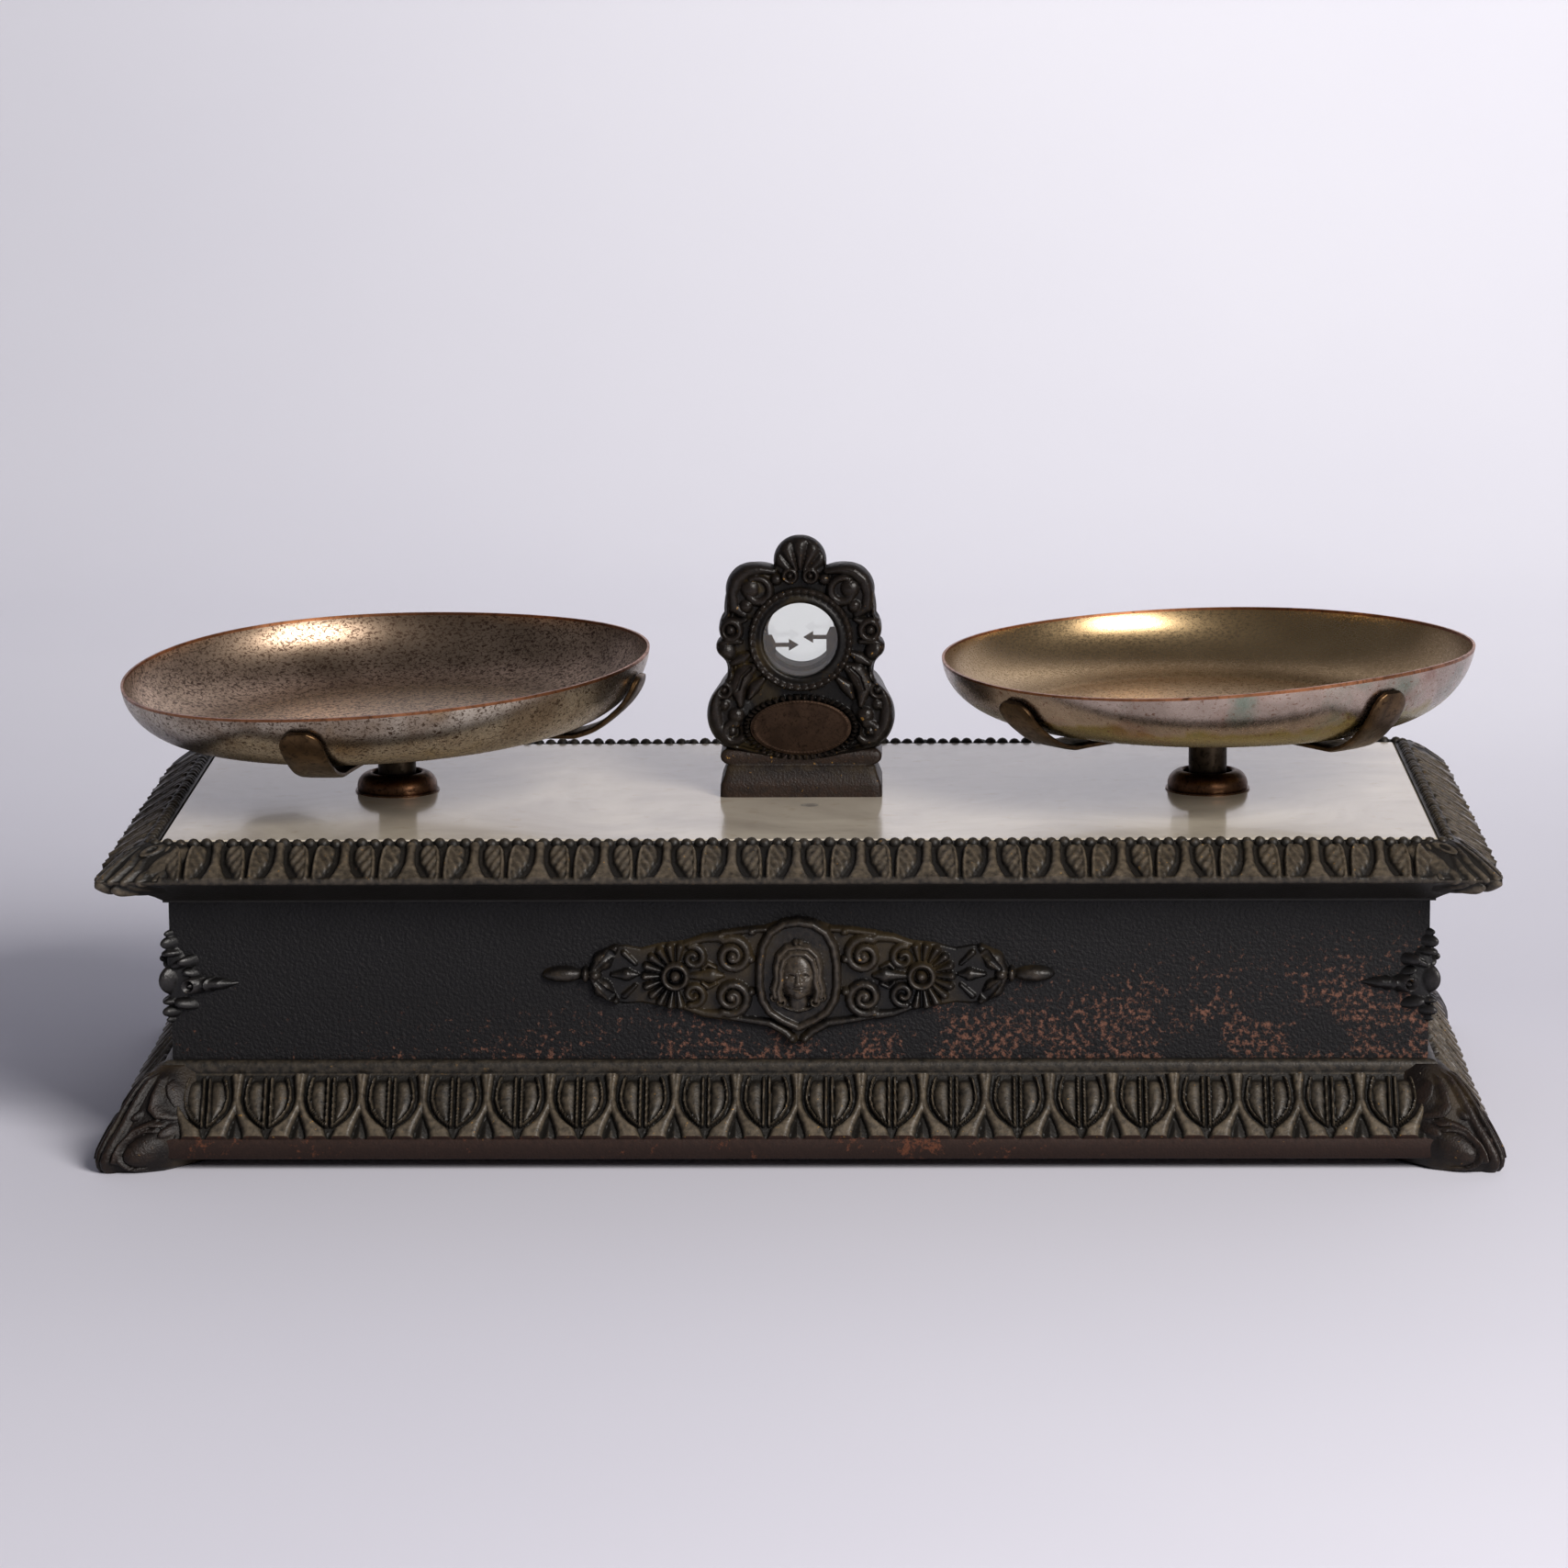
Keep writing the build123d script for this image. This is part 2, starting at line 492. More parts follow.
# Cornice casting: bead round the marble, sloping leaf band, hollow underside
def cornice_outline():
    bead_inner = MARBLE_REACH + MARBLE_CLEARANCE
    bead_outer, bead_foot = CORNICE_START
    tip_bottom = CORNICE_END[1] - CORNICE_TIP
    soffit = (CORNICE_REACH - 2 * CORNICE_TIP, tip_bottom - CORNICE_TIP)
    Polyline((-LEDGE, MARBLE_BOTTOM), (bead_inner, MARBLE_BOTTOM), (bead_inner, bead_foot))
    ThreePointArc((bead_inner, bead_foot), (bead_inner + BEAD_RADIUS, DECK + BEAD_RISE), (bead_outer, bead_foot))
    Polyline(CORNICE_START, CORNICE_END, (CORNICE_REACH, tip_bottom), soffit)
    bulged_arc(soffit, (CORNICE_LIP, WALL_TOP), -CORNICE_LIP)
    Polyline((CORNICE_LIP, WALL_TOP), (-LEDGE, WALL_TOP), (-LEDGE, MARBLE_BOTTOM))


bolt_top = MARBLE_BOTTOM - WALL
with BuildPart() as corner_fold:
    with BuildLine() as fold_rib:
        ThreePointArc(*[(HALF_LENGTH + reach, HALF_DEPTH + reach, height) for reach, height in CORNICE_FOLD_RUN])
    with BuildSketch(Plane(fold_rib.line @ 0, x_dir=(1, -1, 0), z_dir=fold_rib.line % 0)):
        Ellipse(CORNER_LEAF_WIDTH / 2, CORNER_LEAF_THICKNESS / 2)
    sweep(path=fold_rib.wires()[0])

with BuildPart() as cornice_frame:
    moulding(cornice_outline)
    leaf_row(CORNICE_START, CORNICE_END, CORNICE_LEAF_PITCH, CORNICE_LEAF_RISE, fold_leaves, fold_bell)
    for turn in (0, 180):
        add(corner_fold.part.rotate(Axis.Z, turn))
        add(corner_fold.part.mirror(Plane.YZ).rotate(Axis.Z, turn))
    with BuildSketch(Plane.XY.offset(WALL_TOP)):
        with GridLocations(2 * BOLT_X, 2 * BOLT_Y, 2, 2):
            Circle(BOLT_BOSS_RADIUS)
    extrude(amount=MARBLE_BOTTOM - WALL_TOP)
    with BuildSketch(Plane.XY.offset(WALL_TOP)):
        with GridLocations(2 * BOLT_X, 2 * BOLT_Y, 2, 2):
            Circle(BOLT_RADIUS + FIXING_CLEARANCE)
    extrude(amount=bolt_top - WALL_TOP + FIXING_CLEARANCE, mode=Mode.SUBTRACT)
keep(cornice_frame, "cornice_frame")

with BuildPart() as case_bolts:
    with BuildSketch(Plane.XY.offset(BOLT_SEAT)):
        with GridLocations(2 * BOLT_X, 2 * BOLT_Y, 2, 2):
            RegularPolygon(BOLT_HEAD_RADIUS, 6)
    extrude(amount=-BOLT_HEAD_HEIGHT)
    with BuildSketch(Plane.XY.offset(BOLT_SEAT)):
        with GridLocations(2 * BOLT_X, 2 * BOLT_Y, 2, 2):
            Circle(BOLT_RADIUS)
    extrude(amount=bolt_top - BOLT_SEAT)
keep(case_bolts, "case_bolts")

# Marble slab with openings for the stems, the pointers, the tower screws and the plug
with BuildPart() as marble_top:
    with BuildSketch(Plane.XY.offset(MARBLE_BOTTOM)):
        Rectangle(CASE_LENGTH + 2 * MARBLE_REACH, CASE_DEPTH + 2 * MARBLE_REACH)
    extrude(amount=MARBLE_THICKNESS)
    chamfer(marble_top.faces().sort_by(Axis.Z)[-1].edges(), MARBLE_ARRIS)
    with BuildSketch(Plane.XY.offset(MARBLE_BOTTOM)):
        Rectangle(TOWER_CAVITY_LENGTH, TOWER_CAVITY_DEPTH)
        with Locations((-STEM_X, 0), (STEM_X, 0)):
            Circle(COLLAR_SPIGOT_RADIUS + FIXING_CLEARANCE)
        with Locations((-TOWER_SCREW_X, 0), (TOWER_SCREW_X, 0)):
            Circle(SCREW_RADIUS + FIXING_CLEARANCE)
    extrude(amount=MARBLE_THICKNESS, mode=Mode.SUBTRACT)
    with BuildSketch(Plane.XY.offset(DECK)):
        with Locations((PLUG_X, PLUG_Y)):
            Circle(PLUG_RADIUS)
    extrude(amount=-PLUG_DEPTH, mode=Mode.SUBTRACT)
keep(marble_top, "marble_top")

with BuildPart() as marble_plug:
    with BuildSketch(Plane.XY.offset(DECK)):
        with Locations((PLUG_X, PLUG_Y)):
            Circle(PLUG_RADIUS)
    extrude(amount=-PLUG_DEPTH)
keep(marble_plug, "marble_plug")

# Turned collars that guide the stems
dome_start = (COLLAR_DOME_RADIUS, COLLAR_RIM)
dome_end = (COLLAR_BORE + COLLAR_RIM, COLLAR_HEIGHT)
for side, sign in SIDES.items():
    with BuildPart() as stem_collar:
        with BuildSketch(side_plane(sign * STEM_X, DECK)):
            with BuildLine():
                Polyline((COLLAR_BORE, COLLAR_HEIGHT - COLLAR_RIM), (COLLAR_BORE, -COLLAR_SPIGOT_LENGTH),
                         (COLLAR_SPIGOT_RADIUS, -COLLAR_SPIGOT_LENGTH), (COLLAR_SPIGOT_RADIUS, 0),
                         (COLLAR_RADIUS, 0), (COLLAR_RADIUS, COLLAR_RIM), dome_start)
                bulged_arc(dome_start, dome_end, -COLLAR_BULGE)
                Line(dome_end, (COLLAR_BORE, COLLAR_HEIGHT - COLLAR_RIM))
            make_face()
        revolve(axis=Axis((sign * STEM_X, 0, 0), (0, 0, 1)))
    keep(stem_collar, f"stem_collar_{side}")

# Window tower: scrolled outline on a moulded foot, hollow for the pointers
tower_plane = side_plane(0, DECK)
tower_front = tower_plane.offset(TOWER_DEPTH / 2)
tower_back = tower_plane.offset(-TOWER_DEPTH / 2)
foot_steps = [(0.0, 0.0), (0.2, 0.0), (0.55, 1.0), (0.68, 1.0), (0.82, 0.07), (1.0, 0.07)]
tower_root = TOWER_FOOT_HEIGHT - TOWER_SINK


def tower_point(across, up):
    """Point of the tower's outline, as shares of its half length and its height."""
    return (across * TOWER_HALF_LENGTH, up * TOWER_HEIGHT)


with BuildPart() as tower_casting:
    with BuildSketch(tower_plane):
        with BuildLine():
            waist = tower_point(0.829, 0.186)
            Polyline((0, tower_root), (waist[0], tower_root), waist)
            ThreePointArc(waist, tower_point(1.0, 0.29), tower_point(0.848, 0.43))
            ThreePointArc(tower_point(0.848, 0.43), tower_point(0.78, 0.491), tower_point(0.851, 0.54))
            ThreePointArc(tower_point(0.851, 0.54), tower_point(0.9, 0.575), tower_point(0.848, 0.611))
            ThreePointArc(tower_point(0.848, 0.611), tower_point(0.867, 0.643), tower_point(0.81, 0.706))
            Line(tower_point(0.81, 0.706), tower_point(0.791, 0.78))
            ThreePointArc(tower_point(0.791, 0.78), tower_point(0.707, 0.867), tower_point(0.497, 0.897))
            Line(tower_point(0.497, 0.897), tower_point(0.277, 0.884))
            ThreePointArc(tower_point(0.277, 0.884), tower_point(0.209, 0.969), (0, TOWER_HEIGHT))
            mirror(about=Plane.YZ)
        make_face()
    extrude(amount=TOWER_DEPTH / 2, both=True)
    outline_edges = tower_casting.faces().filter_by(Axis.Y).edges()
    chamfer(outline_edges.filter_by(lambda edge: edge.center().Z > DECK + TOWER_FOOT_HEIGHT), TOWER_EDGE)
    for height, inset in foot_steps:
        with BuildSketch(Plane.XY.offset(DECK + height * TOWER_FOOT_HEIGHT)):
            Rectangle(TOWER_FOOT_LENGTH - 2 * inset * TOWER_FOOT_INSET,
                      TOWER_FOOT_DEPTH - 2 * inset * TOWER_FOOT_INSET)
    loft(ruled=True)
    for face_plane in (tower_front, tower_back):
        with BuildSketch(face_plane):
            with Locations((0, PLAQUE_HEIGHT)):
                Ellipse(PLAQUE_HALF_LENGTH + PLAQUE_RIM, PLAQUE_HALF_HEIGHT + PLAQUE_RIM)
        extrude(amount=PLAQUE_RISE if face_plane is tower_front else -PLAQUE_RISE)
    with BuildSketch(tower_front.offset(PLAQUE_RISE - PLAQUE_THICKNESS)):
        with Locations((0, PLAQUE_HEIGHT)):
            Ellipse(PLAQUE_HALF_LENGTH, PLAQUE_HALF_HEIGHT)
    extrude(amount=TOWER_DEPTH, mode=Mode.SUBTRACT)
    with BuildSketch(Plane.XY.offset(DECK)):
        Rectangle(TOWER_CAVITY_LENGTH, TOWER_CAVITY_DEPTH)
    extrude(amount=TOWER_CAVITY_HEIGHT, mode=Mode.SUBTRACT)
    with BuildSketch(Plane.XY.offset(DECK)):
        with Locations((-TOWER_SCREW_X, 0), (TOWER_SCREW_X, 0)):
            Circle(SCREW_RADIUS + FIXING_CLEARANCE)
    extrude(amount=TOWER_SCREW_ENTRY, mode=Mode.SUBTRACT)
    for reach, radius in ((TOWER_DEPTH, WINDOW_RADIUS), (-TOWER_DEPTH, BACK_WINDOW_RADIUS)):
        with BuildSketch(tower_plane):
            with Locations((0, WINDOW_HEIGHT)):
                Circle(radius)
        extrude(amount=reach, mode=Mode.SUBTRACT)
    glass_seat = GLASS_THICKNESS + GLASS_CLEARANCE
    for seat_plane in (tower_front.offset(-glass_seat), tower_back):
        with BuildSketch(seat_plane):
            with Locations((0, WINDOW_HEIGHT)):
                Circle(GLASS_RADIUS + GLASS_CLEARANCE)
        extrude(amount=glass_seat, mode=Mode.SUBTRACT)
keep(tower_casting, "tower_casting")

# Window fittings: a ring and a pane on each face, and the bare plate on the front
for face, outward, opening in (("front", -1, WINDOW_RADIUS), ("back", 1, BACK_WINDOW_RADIUS)):
    window_centre = (0, outward * TOWER_DEPTH / 2, DECK + WINDOW_HEIGHT)
    with BuildPart() as window_bezel:
        with BuildSketch(Plane(origin=window_centre)):
            with BuildLine():
                ring_crest = ((opening + 2 * BEZEL_RADIUS) / 3, outward * BEZEL_RISE)
                ring_edge = (BEZEL_RADIUS, outward * BEZEL_RISE / 2)
                Polyline((opening, outward * BEZEL_RISE / 3), (opening, 0), (BEZEL_RADIUS, 0), ring_edge)
                bulged_arc(ring_edge, ring_crest, -outward * BEZEL_RISE / 5)
                bulged_arc(ring_crest, (opening, outward * BEZEL_RISE / 3), outward * BEZEL_RISE / 5)
            make_face()
        revolve(axis=Axis(window_centre, (0, 1, 0)))
    keep(window_bezel, f"window_bezel_{face}")

    with BuildPart() as window_glass:
        with BuildSketch(Plane(origin=window_centre, x_dir=(1, 0, 0), z_dir=(0, -outward, 0))):
            Circle(GLASS_RADIUS)
        extrude(amount=GLASS_THICKNESS)
    keep(window_glass, f"window_glass_{face}")

with BuildPart() as oval_plaque:
    with BuildSketch(tower_front.offset(PLAQUE_RISE - PLAQUE_THICKNESS)):
        with Locations((0, PLAQUE_HEIGHT)):
            Ellipse(PLAQUE_HALF_LENGTH - FIXING_CLEARANCE, PLAQUE_HALF_HEIGHT - FIXING_CLEARANCE)
    extrude(amount=PLAQUE_THICKNESS / 2)
keep(oval_plaque, "oval_plaque")

with BuildPart() as tower_screws:
    with BuildSketch(Plane.XY.offset(MARBLE_BOTTOM)):
        with Locations((-TOWER_SCREW_X, 0), (TOWER_SCREW_X, 0)):
            Circle(SCREW_HEAD_RADIUS)
    extrude(amount=-SCREW_HEAD_HEIGHT)
    with BuildSketch(Plane.XY.offset(MARBLE_BOTTOM)):
        with Locations((-TOWER_SCREW_X, 0), (TOWER_SCREW_X, 0)):
            Circle(SCREW_RADIUS)
    extrude(amount=MARBLE_THICKNESS + TOWER_SCREW_ENTRY - SCREW_END_GAP)
keep(tower_screws, "tower_screws")


# Knife edges and the bearings they turn in
def knife(up, clearance=0.0, mode=Mode.ADD):
    """Knife section with its edge at the local origin, pointing up (1) or down (-1)."""
    half = KNIFE_HALF_WIDTH + clearance
    flank = -up * (KNIFE_FLANK - clearance)
    back = -up * (KNIFE_DEPTH + clearance)
    edge = (0, 2 * up * clearance)
    Polygon(edge, (half, flank), (half, back), (-half, back), (-half, flank), align=None, mode=mode)


def bearing(up, gap):
    """Bearing block over an edge that points up (1), or under one that points down (-1)."""
    half = BEARING_LENGTH / 2
    skirt = -up * BEARING_SKIRT
    mouth = (BEARING_SKIRT + gap) * tan(radians(BEARING_HALF_ANGLE))
    Polygon((-half, up * BEARING_BACK), (half, up * BEARING_BACK), (half, skirt), (mouth, skirt),
            (0, up * gap), (-mouth, skirt), (-half, skirt), align=None)


def eye(up, gap):
    """Opening round a knife: a wide notch for its edge, and room for its body to swing."""
    half = EYE_WIDTH / 2
    shoulder = up * (gap - half / tan(radians(BEARING_HALF_ANGLE)))
    Polygon((0, up * gap), (half, shoulder), (half, -up * EYE_DEPTH), (-half, -up * EYE_DEPTH),
            (-half, shoulder), align=None, mode=Mode.SUBTRACT)


def pair_of_layers(plane, inner, outer):
    """Planes on which a sketch is extruded by outer - inner to give the front and rear layers."""
    return plane.offset(inner), plane.offset(-outer)


# Main beam with its knives
beam_plane = side_plane(0, BEAM_HEIGHT, -REST_TILT)
window_inner = BEAM_MIDDLE_RADIUS + EYE_WALL
window_outer = LINK_X - BEAM_END_RADIUS
window_middle = (window_inner + window_outer) / 2
with BuildPart() as main_beam:
    with BuildSketch(beam_plane):
        with Locations((0, KNIFE_DEPTH / 2)):
            Circle(BEAM_MIDDLE_RADIUS)
        with Locations((-BEAM_ARM, -KNIFE_DEPTH / 2), (BEAM_ARM, -KNIFE_DEPTH / 2)):
            Circle(BEAM_END_RADIUS)
        make_hull()
        with Locations((-BEAM_ARM, 0), (-LINK_X, 0), (LINK_X, 0), (BEAM_ARM, 0)):
            knife(1, KNIFE_SEAT_CLEARANCE, Mode.SUBTRACT)
        with Locations((0, 0)):
            knife(-1, KNIFE_SEAT_CLEARANCE, Mode.SUBTRACT)
        with Locations((-window_middle, 0), (window_middle, 0)):
            SlotOverall(window_outer - window_inner, BEAM_WINDOW, mode=Mode.SUBTRACT)
    extrude(amount=BAR_THICKNESS / 2, both=True)
keep(main_beam, "main_beam")

with BuildPart() as beam_fulcrum_knife:
    with BuildSketch(beam_plane):
        knife(-1)
    extrude(amount=KNIFE_REACH, both=True)
keep(beam_fulcrum_knife, "beam_fulcrum_knife")

for name, place, reach in (("beam_end_knives", BEAM_ARM, KNIFE_REACH),
                           ("beam_link_knives", LINK_X, LINK_KNIFE_REACH)):
    with BuildPart() as beam_knives:
        with BuildSketch(beam_plane):
            with Locations((-place, 0), (place, 0)):
                knife(1)
        extrude(amount=reach, both=True)
    keep(beam_knives, name)

# Fulcrum stand: two uprights and a web on a foot, with a bearing on each upright
upright_top = BEAM_HEIGHT - BEARING_BACK
with BuildPart() as fulcrum_stand:
    with BuildSketch(Plane.XY.offset(PLATE_TOP)):
        Rectangle(STAND_FOOT_LENGTH, STAND_FOOT_DEPTH)
        with Locations((0, -STAND_SCREW_Y), (0, STAND_SCREW_Y)):
            Circle(SCREW_RADIUS + FIXING_CLEARANCE, mode=Mode.SUBTRACT)
    extrude(amount=STAND_FOOT)
    for layer in pair_of_layers(side_plane(0, 0), PRONG_INNER, PRONG_OUTER):
        with BuildSketch(layer):
            Polygon((-STAND_FOOT_WALL, STAND_TOP), (STAND_FOOT_WALL, STAND_TOP),
                    (BEARING_LENGTH / 2, upright_top), (-BEARING_LENGTH / 2, upright_top), align=None)
        extrude(amount=PRONG_OUTER - PRONG_INNER)
    with BuildSketch(Plane.XY.offset(STAND_TOP)):
        Rectangle(STAND_WEB, 2 * PRONG_INNER)
    extrude(amount=(upright_top - STAND_TOP) / 2)
keep(fulcrum_stand, "fulcrum_stand")

with BuildPart() as fulcrum_bearings:
    for layer in pair_of_layers(side_plane(0, BEAM_HEIGHT), PRONG_INNER, PRONG_OUTER):
        with BuildSketch(layer):
            bearing(-1, KNIFE_GAP)
        extrude(amount=PRONG_OUTER - PRONG_INNER)
keep(fulcrum_bearings, "fulcrum_bearings")

# Posts that stop the beam at the ends of its travel
stop_reach = STOP_X + STOP_RADIUS
stop_top = BEAM_UNDERSIDE - stop_reach * tan(radians(TILT_LIMIT)) - STOP_GAP
with BuildPart() as travel_stops:
    for radius, height in ((STOP_FOOT_RADIUS, STOP_FOOT_HEIGHT), (STOP_RADIUS, stop_top - PLATE_TOP)):
        with BuildSketch(Plane.XY.offset(PLATE_TOP)):
            with Locations((-STOP_X, 0), (STOP_X, 0)):
                Circle(radius)
        extrude(amount=height)
keep(travel_stops, "travel_stops")

with BuildPart() as stand_screws:
    with BuildSketch(Plane.XY.offset(STAND_TOP)):
        with Locations(*STAND_SCREWS):
            Circle(SCREW_HEAD_RADIUS)
    extrude(amount=SCREW_HEAD_HEIGHT)
    with BuildSketch(Plane.XY.offset(STAND_TOP)):
        with Locations(*STAND_SCREWS):
            Circle(SCREW_RADIUS)
    extrude(amount=STRIP_BOTTOM - STAND_TOP)
keep(stand_screws, "stand_screws")

# Bent arm of a pan spider, along X under a pan whose underside is at Z = 0
wall_centre = Vector(PAN_FLOOR_RADIUS, PAN_WALL_RADIUS)
tab_turn = degrees(asin(1)) - degrees(asin((PAN_WALL_RADIUS - ARM_TAB) / (PAN_WALL_RADIUS + PAN_CLEARANCE)))


def off_wall(turn, distance):
    """Point at a distance outside the pan's wall, turn degrees up from the edge of its floor."""
    reach = PAN_WALL_RADIUS + distance
    return wall_centre + Vector(reach * sin(radians(turn)), -reach * cos(radians(turn)))


with BuildPart() as spider_arm:
    root = HUB_RADIUS - 2 * HUB_THICKNESS
    bend = Vector(PAN_FLOOR_RADIUS, -HUB_DROP - ARM_DROP)
    below = Vector(0, -ARM_THICKNESS)
    tab_inner = off_wall(tab_turn, PAN_CLEARANCE)
    tab_outer = off_wall(tab_turn, PAN_CLEARANCE + ARM_THICKNESS)
    with BuildSketch(Plane.XZ):
        with BuildLine():
            Polyline((root, -HUB_DROP - ARM_THICKNESS), (root, -HUB_DROP), bend)
            ThreePointArc(bend, off_wall(tab_turn / 2, ARM_STANDOFF), tab_inner)
            Line(tab_inner, tab_outer)
            ThreePointArc(tab_outer, off_wall(tab_turn / 2, ARM_STANDOFF + ARM_THICKNESS), bend + below)
            Line(bend + below, (root, -HUB_DROP - ARM_THICKNESS))
        make_face()
    extrude(amount=ARM_WIDTH / 2, both=True)
    tab_edges = spider_arm.faces().sort_by(Axis.Z)[-1].edges().filter_by(Axis.Y, reverse=True)
    fillet(tab_edges, ARM_CORNER)

# Each side's moving pieces, in the photographed rest position
for side, sign in SIDES.items():
    rise = sign * REST_DROP
    knife_x = sign * BEAM_ARM * cos(radians(REST_TILT))
    knife_z = BEAM_HEIGHT + rise
    stem_x = knife_x - sign * (BEAM_ARM - STEM_X)
    inner_x = knife_x - sign * (BEAM_ARM - INNER_KNIFE_X)
    inner_z = SUB_HEIGHT + rise
    carrier_bottom = knife_z + CARRIER_RISE
    carrier_top = carrier_bottom + CARRIER_HEIGHT
    carrier_middle = carrier_bottom + CARRIER_HEIGHT / 2
    bar_inner = inner_x - sign * CARRIER_END
    bar_outer = knife_x + sign * CARRIER_END
    boss_bottom = carrier_bottom - STEM_BOSS_LIP
    boss_top = carrier_top + STEM_BOSS_RISE
    pan_z = PAN_HEIGHT + rise
    hub_top = pan_z - HUB_DROP
    hub_bottom = hub_top - HUB_THICKNESS
    prong_y = (PRONG_INNER + PRONG_OUTER) / 2
    prong_depth = PRONG_OUTER - PRONG_INNER
    rivets = [(bar_inner + sign * POINTER_LAP * share, carrier_middle) for share in (0.3, 0.7)]

    # Stand on which the sub-lever turns: its knife bears upwards in the eyes
    sub_x = sign * SUB_FULCRUM_X
    with BuildPart() as sublever_stand:
        with BuildSketch(Plane.XY.offset(PLATE_TOP)):
            with Locations((sub_x, 0)):
                Rectangle(STAND_FOOT_LENGTH, STAND_FOOT_DEPTH)
            with Locations((sub_x, -STAND_SCREW_Y), (sub_x, STAND_SCREW_Y)):
                Circle(SCREW_RADIUS + FIXING_CLEARANCE, mode=Mode.SUBTRACT)
        extrude(amount=STAND_FOOT)
        for layer in pair_of_layers(side_plane(sub_x, SUB_HEIGHT), PRONG_INNER, PRONG_OUTER):
            with BuildSketch(layer):
                cheek = EYE_WIDTH / 2 + EYE_WALL / 2
                Polygon((-STAND_FOOT_WALL, STAND_TOP - SUB_HEIGHT), (STAND_FOOT_WALL, STAND_TOP - SUB_HEIGHT),
                        (cheek, 0), (cheek, EYE_WALL), (-cheek, EYE_WALL), (-cheek, 0), align=None)
                eye(1, KNIFE_GAP)
            extrude(amount=prong_depth)
    keep(sublever_stand, f"sublever_stand_{side}")

    # Sub-lever: fulcrum at its outer end, link in between, pan knife at its inner end
    sub_plane = side_plane(sub_x, SUB_HEIGHT, SUB_TILT)
    pan_place = -sign * SUB_ARM
    link_place = -sign * (SUB_FULCRUM_X - LINK_X)
    with BuildPart() as sublever:
        with BuildSketch(sub_plane):
            with Locations((0, -KNIFE_DEPTH / 2), (pan_place, -KNIFE_DEPTH / 2), (link_place, KNIFE_DEPTH / 2)):
                Circle(SUB_END_RADIUS)
            make_hull()
            with Locations((0, 0), (pan_place, 0)):
                knife(1, KNIFE_SEAT_CLEARANCE, Mode.SUBTRACT)
            with Locations((link_place, 0)):
                knife(-1, KNIFE_SEAT_CLEARANCE, Mode.SUBTRACT)
        extrude(amount=BAR_THICKNESS / 2, both=True)
    keep(sublever, f"sublever_{side}")

    with BuildPart() as sublever_knives:
        with BuildSketch(sub_plane):
            with Locations((0, 0), (pan_place, 0)):
                knife(1)
        extrude(amount=KNIFE_REACH, both=True)
        with BuildSketch(sub_plane):
            with Locations((link_place, 0)):
                knife(-1)
        extrude(amount=LINK_KNIFE_REACH, both=True)
    keep(sublever_knives, f"sublever_knives_{side}")

    # Link that hangs on the beam and holds up the sub-lever
    link_drop = BEAM_HEIGHT - SUB_HEIGHT
    link_plane = side_plane(sign * LINK_X * cos(radians(REST_TILT)),
                            BEAM_HEIGHT + sign * LINK_X * sin(radians(REST_TILT)))
    with BuildPart() as link:
        for layer in pair_of_layers(link_plane, LINK_INNER, LINK_OUTER):
            with BuildSketch(layer):
                with Locations((0, -link_drop / 2)):
                    RectangleRounded(LINK_WIDTH, link_drop + 2 * EYE_WALL, LINK_CORNER)
                eye(1, KNIFE_GAP)
                with Locations((0, -link_drop)):
                    eye(-1, LOOSE_KNIFE_GAP)
            extrude(amount=LINK_OUTER - LINK_INNER)
        with BuildSketch(link_plane):
            with Locations((0, (BEAM_UNDERSIDE + SUB_CREST) / 2 - BEAM_HEIGHT)):
                Rectangle(LINK_WIDTH, LINK_BRIDGE)
        extrude(amount=LINK_OUTER, both=True)
    keep(link, f"link_{side}")

    # Pan carrier: bar with a fork at each end and a boss for the stem
    with BuildPart() as carrier:
        with BuildSketch(Plane.XY.offset(carrier_bottom)):
            with Locations(((bar_inner + bar_outer) / 2, 0)):
                Rectangle(abs(bar_outer - bar_inner), CARRIER_DEPTH)
            with Locations((knife_x, 0), (inner_x, 0)):
                Rectangle(BEARING_LENGTH, 2 * PRONG_OUTER)
        extrude(amount=CARRIER_HEIGHT)
        for prong_x, edge_z in ((knife_x, knife_z), (inner_x, inner_z)):
            with BuildSketch(Plane.XY.offset(edge_z + BEARING_BACK)):
                with Locations((prong_x, -prong_y), (prong_x, prong_y)):
                    Rectangle(BEARING_LENGTH, prong_depth)
            extrude(amount=carrier_bottom - edge_z - BEARING_BACK)
        with BuildSketch(Plane.XY.offset(boss_bottom)):
            with Locations((stem_x, 0)):
                Circle(STEM_BOSS_RADIUS)
        extrude(amount=boss_top - boss_bottom)
        with BuildSketch(Plane.XY.offset(boss_bottom)):
            with Locations((stem_x, 0)):
                Circle(STEM_SPIGOT_RADIUS + FIXING_CLEARANCE)
        extrude(amount=boss_top - boss_bottom, mode=Mode.SUBTRACT)
        with BuildSketch(Plane.XY.offset(carrier_bottom)):
            with Locations((bar_inner, 0)):
                Rectangle(2 * (POINTER_LAP + FIXING_CLEARANCE), POINTER_THICKNESS + 2 * FIXING_CLEARANCE)
        extrude(amount=CARRIER_HEIGHT, mode=Mode.SUBTRACT)
        with BuildSketch(Plane.XZ):
            with Locations(*rivets):
                Circle(RIVET_RADIUS + FIXING_CLEARANCE)
        extrude(amount=PRONG_OUTER, both=True, mode=Mode.SUBTRACT)
    keep(carrier, f"carrier_{side}")

